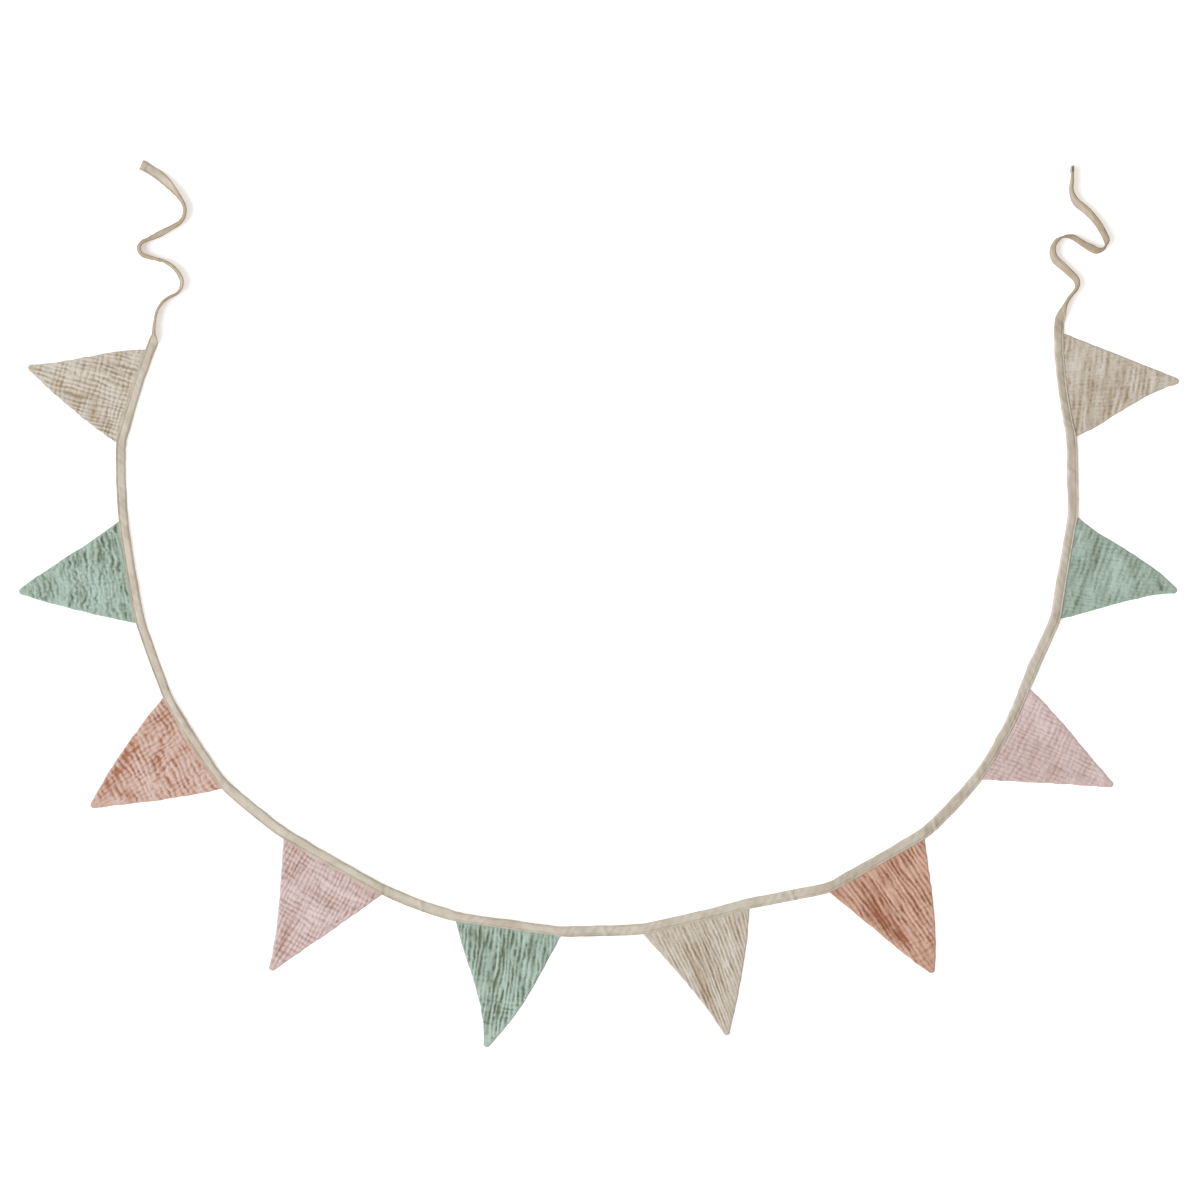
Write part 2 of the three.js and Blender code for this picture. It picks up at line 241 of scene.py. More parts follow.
TAPE_RUNS = [
    TapeRun(1.4, 1.0, 0.0),
    TapeRun(2.2, 0.6, -0.3),
    TapeRun(2.2, 1.0, 1.3),
    TapeRun(1.7, 0.3, 1.0),
    TapeRun(1.8, 1.0, 1.5),
    TapeRun(1.0, 0.0, 0.9),
    TapeRun(1.0, 0.0, 1.4),
    TapeRun(1.5, 0.7, 1.6),
    TapeRun(1.5, 0.1, 1.4),
    TapeRun(1.5, 0.9, 0.0),
]


@dataclass
class TapeCrease:
    """A crease across the tape, or a dent where its height is negative.

    Its columns are its place along the tape, its half width, its height, and how far it shifts along the
    tape for each millimetre across.
    """

    at: float
    reach: float
    height: float
    lean: float


TAPE_CREASES = [
    TapeCrease(954, 3.6, -0.9, 0.9),
    TapeCrease(1209, 2.6, -1.0, 0.4),
    TapeCrease(1261, 2.8, 0.9, 0.6),
    TapeCrease(1505, 2.6, 1.1, 0.3),
    TapeCrease(1756, 2.4, 1.6, 0.15),
    TapeCrease(1966, 3.2, 1.3, -0.5),
    TapeCrease(2568, 4.0, 0.8, -0.3),
    TapeCrease(2604, 4.5, -0.7, 0.2),
    TapeCrease(2632, 3.6, -0.8, 0.2),
]


@dataclass
class Ribs:
    """A train of narrow ribs.

    Its columns are the angle to the base, the pitch, the length over which a rib sways, the depth of
    its valleys, their sideways jogs, their roundness, how uneven they are, how far they break up into
    dashes, and how far from the base they set in.
    """

    angle: float
    pitch: float
    run: float
    depth: float
    jog: float
    roundness: float
    vary: float
    dashes: float = 0.6
    begins: float = -100.0


@dataclass
class Swell:
    """Broad soft folds: angle to the base, width and length of a fold, depth, and sideways jogs."""

    angle: float
    wave: float
    run: float
    depth: float
    jog: float


@dataclass
class Crinkle:
    """How one flag's gauze has crinkled.

    A crease is its middle along and out from the base, length, angle to the base, depth and width.
    A negative depth is a soft ridge. The gain deepens all of it but the fuzz, and the fan spreads steep
    ribs from a place along the base.
    """

    ribs: tuple
    swells: tuple
    creases: tuple
    gain: float = 1.0
    fan: float = 0.0
    fan_middle: float = 96.0


CRINKLES = [
    Crinkle(
        ribs=(
            Ribs(87, 5.6, 26, 0.62, 0.5, 1, 0.7),
            Ribs(-1, 7, 20, 0.52, 0.6, 0.9, 0.8),
        ),
        swells=(
            Swell(87, 14, 30, 0.12, 0.5),
            Swell(0, 14, 24, 0.15, 0.5),
        ),
        creases=(
            (30, 22, 38, 85, 0.4, 1.6), (48, 22, 36, 84, 0.35, 1.6), (40, 23, 22, 89, 0.4, 1.8),
            (74, 95, 19, 96, 0.5, 1.8), (63, 69, 22, 87, 0.4, 1.5), (57, 82, 19, 92, 0.45, 1.7),
            (80, 49, 25, 88, 0.35, 1.7), (43, 51, 26, 86, 0.35, 1.8), (97, 38, 26, -16, 0.6, 6),
            (82, 76, 44, -74, 0.42, 6), (105, 18, 16, -65, 0.3, 5), (62, 30, 70, -49, -0.28, 12),
            (67, 130, 12, 68, 0.3, 3),
        ),
        gain=1.15,
    ),
    Crinkle(
        ribs=(
            Ribs(1, 8.4, 15, 0.8, 3, 1.1, 0.9),
            Ribs(0, 5, 10, 0.35, 1.2, 0.9, 0.9),
            Ribs(90, 6, 12, 0.15, 0.5, 0.9, 0.8),
        ),
        swells=(
            Swell(2, 15, 20, 0.12, 1.5),
            Swell(35, 18, 20, 0.07, 1),
            Swell(-25, 18, 20, 0.06, 1),
        ),
        creases=(
            (43, 61, 16, 7, 0.7, 2), (42, 28, 14, -17, 0.8, 2.2), (27, 26, 21, 20, 0.6, 2.2),
            (117, 7, 22, -22, 0.5, 2.2), (57, 29, 17, 26, 0.55, 2.2), (46, 72, 12, 13, 0.65, 2),
            (68, 117, 18, 0, 0.75, 1.5), (27, 11, 14, 7, 0.5, 2.2), (92, 4, 16, -9, 0.5, 2),
            (35, 52, 10, 18, 0.5, 2.2), (60, 100, 16, 19, 0.45, 2), (103, 27, 10, -16, 0.55, 2.2),
            (40, 28, 24, 10, 0.3, 6), (76, 45, 54, -9, -0.35, 9), (90, 61, 16, -29, 0.25, 6),
            (24, 44, 14, 0, -0.3, 5), (5, 4, 14, 30, 0.5, 4),
        ),
        gain=0.95,
    ),
    Crinkle(
        ribs=(
            Ribs(2, 7.6, 16, 0.75, 1.5, 1, 0.8),
            Ribs(88, 6, 14, 0.5, 0.8, 0.9, 0.9),
        ),
        swells=(
            Swell(2, 14, 20, 0.2, 1),
            Swell(30, 20, 24, 0.15, 1),
        ),
        creases=(
            (71, 115, 21, -8, 0.7, 2.2), (38, 64, 17, 81, 0.75, 2.4), (38, 81, 18, 60, 0.8, 4.5),
            (50, 96, 19, 74, 0.7, 2.4), (48, 104, 14, 40, 0.75, 4.5), (58, 108, 9, 6, 0.7, 2),
            (57, 123, 14, 22, 0.7, 4), (87, 62, 14, 18, 0.6, 2), (51, 30, 12, -8, 0.5, 2),
            (24, 11, 16, 84, 0.5, 1.8), (73, 7, 20, -11, 0.4, 2), (80, 30, 10, 2, 0.5, 2),
            (22, 24, 42, 69, 0.3, 6.5), (82, 103, 18, -13, 0.4, 4.5), (78, 76, 50, 5, -0.3, 14),
            (81, 41, 24, 18, -0.25, 7),
        ),
        gain=1.03,
    ),
    Crinkle(
        ribs=(
            Ribs(88, 5.4, 30, 0.52, 0.4, 1.1, 0.7),
            Ribs(0, 7.6, 22, 0.45, 0.6, 0.9, 0.9),
        ),
        swells=(
            Swell(0, 15, 40, 0.12, 0.5),
            Swell(88, 12, 30, 0.1, 0.5),
        ),
        creases=(
            (61, 70, 40, 90, 0.45, 1.4), (67, 122, 40, 84, 0.45, 1.8), (72, 72, 44, 93, 0.4, 1.7),
            (34, 24, 37, 86, 0.45, 1.9), (55, 59, 24, 95, 0.4, 1.8), (41, 21, 26, 87, 0.35, 1.7),
            (26, 36, 18, 89, 0.4, 1.6), (82, 98, 29, 88, 0.3, 1.7), (60, 43, 90, 1, 0.35, 1.6),
            (130, 3, 40, 0, 0.4, 3), (19, 3, 24, 0, 0.35, 3), (66, 110, 62, 77, 0.3, 6.5),
            (95, 22, 70, 1, -0.35, 7), (91, 68, 30, 47, -0.3, 9), (119, 50, 90, -64, 0.4, 1.3),
        ),
        gain=1.12,
    ),
    Crinkle(
        ribs=(
            Ribs(89, 5.6, 26, 0.85, 0.6, 1.2, 0.8),
            Ribs(0, 6.6, 14, 0.5, 0.5, 1, 0.8, begins=75),
        ),
        swells=(
            Swell(89, 10, 34, 0.35, 0.7),
            Swell(89, 17, 50, 0.2, 0.6),
        ),
        creases=(
            (71, 107, 50, 98, 0.6, 1.6), (44, 17, 27, 97, 0.8, 1.6), (35, 18, 27, 83, 0.8, 2.1),
            (66, 20, 23, 94, 0.7, 1.7), (78, 13, 20, 92, 0.7, 1.5), (57, 43, 37, 89, 0.6, 2),
            (89, 37, 30, 92, 0.6, 1.8), (83, 22, 34, 89, 0.5, 1.8), (63, 68, 29, 99, 0.6, 1.5),
            (85, 60, 25, 91, 0.6, 1.6), (66, 33, 13, 91, 0.7, 1.8), (100, 23, 24, 94, 0.5, 1.9),
            (57, 69, 28, 38, 0.55, 7), (30, 16, 44, 27, 0.4, 7), (66, 100, 33, 48, 0.3, 5.5),
            (102, 48, 40, -62, -0.3, 8.5), (62, 151, 14, 80, -0.4, 5),
        ),
        gain=1.13,
    ),
    Crinkle(
        ribs=(
            Ribs(82, 5.2, 36, 0.6, 0.6, 1.3, 0.8, 0.2),
        ),
        swells=(
            Swell(82, 9, 40, 0.25, 0.7),
            Swell(80, 16, 60, 0.15, 0.6),
        ),
        creases=(
            (39, 22, 37, 82, 0.5, 1.6), (79, 80, 65, 82, 0.45, 1.7), (68, 50, 65, 83, 0.4, 1.5),
            (54, 33, 45, 80, 0.4, 1.7), (86, 56, 95, 84, 0.4, 1.6), (65, 68, 89, 83, 0.35, 1.5),
            (27, 19, 30, 82, 0.45, 1.8), (61, 83, 65, 78, 0.4, 1.5), (123, 17, 26, 87, 0.45, 1.5),
            (102, 46, 49, 80, 0.35, 1.6), (58, 64, 90, 77, 0.3, 6.5), (100, 70, 79, -74, -0.3, 9),
        ),
        fan=0.3,
        gain=1.03,
    ),
    Crinkle(
        ribs=(
            Ribs(84, 6, 30, 0.75, 0.7, 1.3, 0.8, 0.25),
            Ribs(0, 7.5, 14, 0.3, 0.5, 1, 0.9, begins=50),
        ),
        swells=(
            Swell(84, 11, 36, 0.3, 0.7),
            Swell(82, 18, 50, 0.15, 0.6),
        ),
        creases=(
            (46, 20, 34, 83, 0.7, 1.8), (56, 28, 33, 93, 0.7, 2.1), (40, 23, 38, 83, 0.5, 2.1),
            (47, 47, 35, 91, 0.6, 1.5), (32, 20, 33, 84, 0.6, 1.5), (74, 20, 33, 79, 0.5, 1.7),
            (80, 21, 23, 82, 0.6, 1.5), (82, 51, 30, 88, 0.5, 1.8), (67, 25, 41, 81, 0.4, 1.7),
            (92, 15, 22, 88, 0.5, 1.5), (103, 52, 38, 82, 0.4, 1.8), (54, 98, 25, 90, 0.6, 6),
            (42, 52, 44, 80, 0.5, 6.5), (46, 76, 60, 76, 0.3, 8), (83, 113, 24, -67, -0.5, 5),
            (105, 36, 48, -62, -0.35, 9), (97, 82, 22, -62, -0.3, 5),
        ),
    ),
    Crinkle(
        ribs=(
            Ribs(86, 5.6, 24, 0.32, 0.5, 1, 0.7),
            Ribs(0, 7.4, 24, 0.32, 0.8, 1, 0.8),
        ),
        swells=(
            Swell(2, 14, 40, 0.14, 0.5),
        ),
        creases=(
            (103, 4, 18, -4, 0.35, 1.3), (43, 26, 34, 84, 0.2, 1.8), (69, 118, 31, 84, 0.2, 2),
            (61, 96, 27, 90, 0.2, 1.7), (60, 68, 33, 85, 0.18, 1.8), (21, 4, 12, 9, 0.3, 1.3),
            (76, 42, 12, -10, 0.3, 2), (61, 44, 42, -21, 0.3, 6), (56, 79, 26, 61, 0.28, 9),
            (64, 114, 16, 30, 0.25, 5.5), (106, 32, 70, -62, -0.28, 9), (77, 133, 26, -70, -0.2, 4),
        ),
        gain=1.18,
    ),
    Crinkle(
        ribs=(
            Ribs(10, 7.6, 24, 0.42, 0.6, 1.1, 0.9),
            Ribs(88, 5, 16, 0.22, 0.5, 1, 0.7),
        ),
        swells=(
            Swell(12, 16, 30, 0.16, 0.6),
            Swell(-15, 9, 20, 0.1, 0.6),
        ),
        creases=(
            (35, 21, 41, 14, 0.4, 2.1), (57, 53, 38, 15, 0.4, 2.1), (64, 124, 12, -33, 0.6, 2),
            (58, 94, 18, 0, 0.45, 2), (70, 81, 17, 12, 0.3, 2), (108, 14, 25, 13, 0.2, 2),
            (74, 65, 42, 2, -0.6, 7.5), (65, 124, 16, -36, 0.5, 4.5), (79, 86, 26, -5, 0.4, 5),
            (90, 33, 40, 1, 0.45, 6.5), (103, 8, 34, -5, -0.35, 6), (29, 23, 20, 9, 0.3, 5),
        ),
        gain=0.95,
    ),
    Crinkle(
        ribs=(
            Ribs(14, 7.4, 32, 0.38, 0.6, 1.2, 1.5),
            Ribs(88, 5, 18, 0.18, 0.5, 1, 0.7),
        ),
        swells=(
            Swell(14, 12, 40, 0.24, 0.6),
        ),
        creases=(
            (51, 17, 65, 13, 0.35, 2), (85, 54, 28, 14, 0.35, 1.6), (46, 8, 31, 10, 0.3, 2),
            (43, 53, 36, 16, 0.3, 2), (45, 46, 45, 14, 0.28, 1.9), (99, 29, 27, 16, 0.32, 2.1),
            (110, 5, 18, 20, 0.4, 2), (62, 66, 16, 13, 0.35, 1.8), (80, 74, 15, 15, 0.3, 2),
            (50, 71, 30, -5, 0.5, 5), (60, 35, 28, 42, 0.35, 8), (84, 86, 14, -54, 0.35, 3),
            (99, 15, 30, 37, -0.32, 8), (59, 90, 20, 9, -0.3, 5.5),
        ),
        gain=1.2,
    ),
]

# Cloth colours: the colour on a crest, and the darker colour of painted shade down in a valley
COLOURS = {
    "tape": ((0.585, 0.525, 0.437), (0.38, 0.29, 0.19)),
    "beige": ((0.64, 0.58, 0.50), (0.36, 0.27, 0.165)),
    "sage": ((0.435, 0.55, 0.468), (0.165, 0.2, 0.135)),
    "peach": ((0.655, 0.478, 0.408), (0.41, 0.176, 0.098)),
    "terracotta": ((0.66, 0.43, 0.325), (0.325, 0.125, 0.065)),
    "pink": ((0.70, 0.567, 0.545), (0.43, 0.262, 0.212)),
}
THREAD_COLOUR = (0.42, 0.34, 0.24)

# Repeatable soft noise between -1 and 1
NOISE_CELLS = 64


def noise(seed):
    cells = np.random.default_rng(seed).uniform(-1, 1, (NOISE_CELLS, NOISE_CELLS))

    def at(x, y):
        column = np.floor(x).astype(int)
        row = np.floor(y).astype(int)
        ease_x = (x - column) ** 2 * (3 - 2 * (x - column))
        ease_y = (y - row) ** 2 * (3 - 2 * (y - row))
        left, right = column % NOISE_CELLS, (column + 1) % NOISE_CELLS
        low, high = row % NOISE_CELLS, (row + 1) % NOISE_CELLS
        near = cells[left, low] * (1 - ease_x) + cells[right, low] * ease_x
        far = cells[left, high] * (1 - ease_x) + cells[right, high] * ease_x
        return near * (1 - ease_y) + far * ease_y

    return at


def smooth(value):
    """Eases from 0 to 1 as the value goes from 0 to 1, and holds outside that."""
    share = np.clip(value, 0, 1)
    return share * share * (3 - 2 * share)


# Route of the tape: each stretch is an arc with a steady turn and an eased roll
LEAST_TURN = 1e-6


def chord_share(turn):
    """Chord of an arc as a share of its length."""
    safe = np.where(np.abs(turn) < LEAST_TURN, LEAST_TURN, turn)
    return np.sin(safe / 2) / (safe / 2)


def lay_route():
    """Stretches of the tape, where each flag's base starts and ends, and the whole length."""
    rows = []
    bases = []
    x, y, heading, roll, station = START_X, START_Y, math.radians(START_HEADING), 0.0, 0.0

    def add(length, end_heading, end_roll):
        nonlocal x, y, heading, roll, station
        turn = math.radians(end_heading) - heading
        rows.append((station, length, x, y, heading, turn, roll, math.radians(end_roll)))
        chord = length * float(chord_share(turn))
        x += chord * math.cos(heading + turn / 2)
        y += chord * math.sin(heading + turn / 2)
        heading += turn
        roll = math.radians(end_roll)
        station += length

    for stretch in LEFT_TIE:
        add(*stretch)
    for flag in FLAGS:
        add(CORNER_BEND, flag.base_from, 0)
        start = station - CORNER_BEND / 2
        bases.append((start, start + flag.base))
        add(flag.base - CORNER_BEND, flag.base_to, 0)
        add(CORNER_BEND, flag.gap_from, 0)
        if flag.gap > 0:
            add(flag.gap - CORNER_BEND, flag.gap_to, 0)
    for stretch in RIGHT_TIE:
        add(*stretch)
    return np.array(rows), bases, station


STRETCHES, BASES, TAPE_LENGTH = lay_route()


def pose_at(station):
    """Place, heading and roll of the tape's middle line at stations along it."""
    index = np.clip(np.searchsorted(STRETCHES[:, 0], station, side="right") - 1, 0, None)
    start, length, x, y, heading, turn, roll, end_roll = np.moveaxis(STRETCHES[index], -1, 0)
    share = (station - start) / length
    part_turn = turn * share
    chord = length * share * chord_share(part_turn)
    return (
        x + chord * np.cos(heading + part_turn / 2),
        y + chord * np.sin(heading + part_turn / 2),
        heading + part_turn,
        roll + (end_roll - roll) * smooth(share),
    )


def beside(station, across):
    """Level point to the right of the tape's run."""
    x, y, heading, _ = pose_at(station)
    return x + across * np.sin(heading), y - across * np.cos(heading)


# Crinkle of a flag: depth below its crests, in parts of a deep valley
def turned(along, up, angle):
    """Distances across and along a direction on the cloth."""
    c, s = math.cos(math.radians(angle)), math.sin(math.radians(angle))
    return up * c - along * s, along * c + up * s


def rib_valleys(a, b, ribs, seed):
    """Valleys of a train of ribs, at distances across and along it."""
    pitch = ribs.pitch
    shift = 0.32 * pitch * noise(seed)(a / (1.7 * pitch) + 7, b / ribs.run)
    shift = shift + ribs.jog * noise(seed + 1)(a / (1.4 * pitch) + 3, b / RIB_JOG_LENGTH)
    shift = shift + 0.5 * pitch * noise(seed + 2)(a / (4 * pitch) + 1, b / (2.5 * ribs.run))
    phase = (a + shift) / pitch
    order = np.floor(phase + 0.5)
    part = noise(seed + 3)(order * 0.73 + 0.31, b / RIB_PART_LENGTH + order * 2.7)
    patch = noise(seed + 4)(a / RIB_PATCH_SIZE, b / RIB_PATCH_SIZE)
    dash = noise(seed + 5)(order * 0.61 + 0.2, b / RIB_DASH_LENGTH + order * 1.9)
    strength = np.clip(1 + ribs.vary * (0.9 * part + 0.7 * patch + ribs.dashes * dash), 0.05, 2.2)
    return strength * (1 - np.abs(np.sin(np.pi * phase)) ** ribs.roundness) - RIB_MEAN


def swell_valleys(a, b, swell, seed):
    """Broad folds that swell and sink, at distances across and along them."""
    wave = swell.wave
    a = a + 0.45 * wave * noise(seed)(a / (2.5 * wave) + 7, b / swell.run)
    a = a + swell.jog * noise(seed + 1)(a / (1.6 * wave) + 3, b / SWELL_JOG_LENGTH)
    across = 2 * a / wave
    first = noise(seed + 2)(across, b / swell.run + 0.37 * across)
    second = noise(seed + 3)(across + 0.5, b / swell.run - 0.41 * across + 9)
    return -SWELL_GAIN * (first + second)


def crease_valley(along, up, crease, bend):
    """Valley of one crease, which bends a little along its length."""
    middle_along, middle_up, length, angle, depth, width = crease
    y, x = turned(along - middle_along, up - middle_up, angle)
    y = y + min(1.4, 0.6 * width + 0.4) * bend(x / CREASE_BEND_LENGTH + middle_along, 0.5)
    return depth * np.exp(-((y / width) ** 2) - (2 * x / length) ** 4)


def crinkle_depth(along, up, crinkle, seed):
    """Depth of a flag's whole crinkle at places along its base and out from it."""
    fanned = along + crinkle.fan * (along - crinkle.fan_middle) * np.clip(up, 0, None) / FAN_LENGTH
    depth = np.zeros_like(along)
    for k, ribs in enumerate(crinkle.ribs):
        a, b = turned(fanned if abs(ribs.angle) > STEEP else along, up, ribs.angle)
        set_in = np.clip((up - ribs.begins) / RIB_SET_IN, 0.2, 1)
        depth = depth + ribs.depth * set_in * rib_valleys(a, b, ribs, seed + 10 * k)
    for k, swell in enumerate(crinkle.swells):
        a, b = turned(fanned if abs(swell.angle) > STEEP else along, up, swell.angle)
        depth = depth + swell.depth * swell_valleys(a, b, swell, seed + 300 + 10 * k)
    bend = noise(seed + 80)
    for crease in crinkle.creases:
        depth = depth + crease_valley(along, up, crease, bend)
    fuzz = noise(seed + 90)
    fine = fuzz(along / 1.6, up / 1.6)
    fine = fine + fuzz(along / 1.3 + 20, up / 3.2 + 9) + fuzz(along / 3.2 + 5, up / 1.3 + 33)
    return crinkle.gain * depth + FUZZ * fine


# Mesh helpers
def mesh_piece(name, points, faces, material):
    mesh = bpy.data.meshes.new(name)
    mesh.from_pydata(points.tolist(), [], faces)
    mesh.polygons.foreach_set("use_smooth", [True] * len(mesh.polygons))
    mesh.materials.append(material)
    mesh.update()
    piece = bpy.data.objects.new(name, mesh)
    bpy.context.scene.collection.objects.link(piece)
    return piece


def cloth_map(piece, flat_points):
    """Gives each corner of the mesh its place on the flat cloth, in metres."""
    mesh = piece.data
    corner_points = np.empty(len(mesh.loops), dtype=np.int32)
    mesh.loops.foreach_get("vertex_index", corner_points)
    layer = mesh.uv_layers.new(name="cloth")
    layer.data.foreach_set("uv", flat_points[corner_points].astype(np.float32).ravel())


def point_value(piece, name, values):
    layer = piece.data.attributes.new(name, "FLOAT", "POINT")
    layer.data.foreach_set("value", values.astype(np.float32))


def strip_faces(lower, upper, lower_along, upper_along):
    """Triangles between two rows of points with different counts."""
    faces = []
    i = j = 0
    while i + 1 < len(lower) or j + 1 < len(upper):
        more_lower = i + 1 < len(lower)
        more_upper = j + 1 < len(upper)
        if not more_upper or (more_lower and lower_along[i + 1] <= upper_along[j + 1]):
            faces.append((lower[i], lower[i + 1], upper[j]))
            i += 1
        else:
            faces.append((lower[i], upper[j + 1], upper[j]))
            j += 1
    return faces


# Flags
def flag_side(corner, sign, flag, bow):
    """One side of a flag: its distance along the base for a height above it, and the sine of its slope."""
    reach_x, reach_y = flag.tip_along - corner, flag.height - TIP_RADIUS
    reach = math.hypot(reach_x, reach_y)
    angle = math.atan2(reach_y, reach_x) - sign * math.asin(TIP_RADIUS / reach)
    run = math.sqrt(reach**2 - TIP_RADIUS**2)
    touch_x, touch_y = corner + run * math.cos(angle), run * math.sin(angle)

    def at(up):
        share = np.clip(up / touch_y, 0, 1)
        belly = BOW_GAIN * share * (1 - share) * (bow[0] * (1 - share) + bow[1] * share)
        straight = corner + (touch_x - corner) * share + sign * belly
        drop = np.clip(TIP_RADIUS**2 - (up - reach_y) ** 2, 0, None)
        return np.where(up >= touch_y, flag.tip_along + sign * np.sqrt(drop), straight)

    return at, abs(math.sin(angle))


def flag_rows(flag, width, seed):
    """Rows of points from the tongue to the tip: along, up and distance from the nearest seam."""
    first, first_square = flag_side(0.0, -1, flag, flag.first_bow)
    second, second_square = flag_side(width, 1, flag, flag.second_bow)
    wave = noise(seed + 90)
    body = np.arange(0, flag.height - TIP_RADIUS, POINT_STEP)
    tip = flag.height - TIP_RADIUS * TIP_ROWS
    rows = []
    for up in np.concatenate([TONGUE_ROWS, body, tip]):
        ease = smooth(up / SEAM_WAVE_FROM_BASE) * smooth((flag.height - up) / SEAM_WAVE_FROM_TIP)
        left = first(up) + SEAM_WAVE * ease * wave(up / SEAM_WAVE_PITCH, 0.5)
        right = second(up) + SEAM_WAVE * ease * wave(up / SEAM_WAVE_PITCH, 9.5)
        count = max(4, round((right - left) / POINT_STEP) + 1)
        along = np.linspace(left, right, count)
        from_seam = np.minimum((along - left) * first_square, (right - along) * second_square)
        from_seam = np.minimum(from_seam, flag.height - up)
        rows.append((along, np.full(count, up), from_seam))
    return rows


def flag_base(index):
    """First corner of a flag, and the width and heading of its base."""
    start, end = BASES[index]
    corner_x, corner_y = beside(start, HALF_WIDTH)
    far_x, far_y = beside(end, HALF_WIDTH)
    width = math.hypot(far_x - corner_x, far_y - corner_y)
    heading = math.atan2(far_y - corner_y, far_x - corner_x)
    return corner_x, corner_y, width, heading


def flag_places(index, along, up):
    """Level places of a flag's points: its base bends with the tape, and the bend fades out to the tip."""
    start, end = BASES[index]
    corner_x, corner_y, width, heading = flag_base(index)
    station = np.clip(start + (end - start) * along / width, start, end)
    seat_x, seat_y = beside(station, HALF_WIDTH + np.minimum(up, 0))
    seat_x, seat_y = seat_x - corner_x, seat_y - corner_y
    seat_along = seat_x * math.cos(heading) + seat_y * math.sin(heading)
    seat_out = seat_y * math.cos(heading) - seat_x * math.sin(heading)
    fade = np.clip(1 - up / FLAGS[index].height, 0, 1) ** 2
    place_x = np.where(up <= 0, seat_along, along)
    place_y = np.where(up <= 0, seat_out, seat_out * fade - up)
    x = corner_x + place_x * math.cos(heading) - place_y * math.sin(heading)
    y = corner_y + place_x * math.sin(heading) + place_y * math.cos(heading)
    return x, y


def flag_heights(up, from_seam, depth, pressed):
    """Upper and lower face of a flag, drawn together at its rolled seams and in the tongue."""
    upper = np.maximum(CLOTH_TOP - RELIEF * depth * pressed, LOWEST_TOP)
    lower = np.clip(LOWER_RELIEF * depth * pressed, 0, upper - LEAST_THICKNESS)
    in_tape = 1 - smooth(up / LIP_EASE)
    lower = np.maximum(lower, TONGUE_BOTTOM * in_tape)
    share = np.clip(from_seam / EDGE_ROLL, 0, 1)
    rolled = np.where(up > 0, np.sqrt(1 - (1 - share) ** 2), 1.0)
    middle = np.where(up > 0, EDGE_MIDDLE + (TONGUE_MIDDLE - EDGE_MIDDLE) * in_tape, 0)
    return middle + (upper - middle) * rolled, middle + (lower - middle) * rolled


def flag_faces(rows):
    """Faces of a flag's upper cloth, of its lower cloth and of the edge between them."""
    starts = np.cumsum([0] + [len(row[0]) for row in rows])
    count = starts[-1]
    faces = []
    for k in range(len(rows) - 1):
        ids = range(starts[k], starts[k + 1])
        next_ids = range(starts[k + 1], starts[k + 2])
        top = strip_faces(ids, next_ids, rows[k][0], rows[k + 1][0])
        faces.extend((a, c, b) for a, b, c in top)
        faces.extend((a + count, b + count, c + count) for a, b, c in top)
        for a, b in ((ids[0], next_ids[0]), (next_ids[-1], ids[-1])):
            faces.append((a, b, b + count, a + count))
    for ids, turn in ((range(starts[0], starts[1]), -1), (range(starts[-2], starts[-1]), 1)):
        for a, b in zip(ids[:-1], ids[1:]):
            faces.append((a, b, b + count, a + count)[::turn])
    return faces


def build_flag(index, material):
    """One flag's cloth, with its flat size and the area of one layer."""
    flag, crinkle = FLAGS[index], CRINKLES[index]
    seed = 1000 * (index + 1)
    width = flag_base(index)[2]
    rows = flag_rows(flag, width, seed)
    along, up, from_seam = (np.concatenate(column) for column in zip(*rows))
    x, y = flag_places(index, along, up)

    # Crinkle is pressed flatter along the seams, under the tape and at the tip
    pressed = (0.4 + 0.6 * smooth(from_seam / EDGE_PRESS)) * (0.25 + 0.75 * smooth(up / BASE_PRESS))
    pressed = pressed * (0.3 + 0.7 * smooth((flag.height - up - TIP_FLAT) / TIP_PRESS))
    depth = crinkle_depth(along, up, crinkle, seed)
    upper, lower = flag_heights(up, from_seam, depth, pressed)
    points = np.concatenate([np.column_stack([x, y, upper]), np.column_stack([x, y, lower])]) * MM
    piece = mesh_piece(f"flag_cloth_{index + 1:02d}", points, flag_faces(rows), material)
    flat = np.column_stack([along, up]) * MM
    cloth_map(piece, np.concatenate([flat, flat]))
    # Painted shade, darker down in the valleys and creases, with a painted highlight on the crests and
    # ridges
    painted_depth_shade = np.clip(PAINTED_SHADE_LEVEL + PAINTED_SHADE_GAIN * depth * (0.35 + 0.65 * pressed), 0, PAINTED_SHADE_LIMIT)
    point_value(piece, "painted_shade", np.concatenate([painted_depth_shade, painted_depth_shade]))

    heights = [row[1][0] for row in rows]
    spans = [row[0][-1] - row[0][0] for row in rows]
    size = (width * MM, (flag.height + TONGUE_LENGTH) * MM)
    return piece, size, float(np.trapz(spans, heights)) * MM * MM


# Tape, with fixed patterns for its puckers, its edges and its mottling
RIPPLE, PULL, WANDER = noise(7), noise(8), noise(9)
FINE_MOTTLE, MOTTLE, BROAD_MOTTLE = noise(11), noise(12), noise(13)


def tape_thickness(station):
    """Thickness of the folded tape, which is more round a flag and at a hemmed end."""
    from_flag = np.min([np.maximum(np.maximum(a - station, station - b), 0) for a, b in BASES], axis=0)
    from_end = np.minimum(station, TAPE_LENGTH - station)
    swell = (FLAG_THICKNESS - SHUT_THICKNESS) * (1 - smooth((from_flag - SWELL_LEAD) / SWELL_EASE))
    hem = (HEM_THICKNESS - SHUT_THICKNESS) * (1 - smooth((from_end - HEM_LENGTH) / HEM_EASE))
    return SHUT_THICKNESS + np.maximum(swell, hem)


def eased_along(station, on_ties, along_flags, in_gaps):
    """A value that holds on the ties, along each flag and in each gap, and eases between them."""
    knots, values = [0.0], [on_ties]
    for (start, end), flag_value, gap_value in zip(BASES, along_flags, [*in_gaps, on_ties]):
        knots += [start - RUN_EASE, start + RUN_EASE, end - RUN_EASE, end + RUN_EASE]
        values += [values[-1], flag_value, flag_value, gap_value]
    return np.interp(station, knots, values)


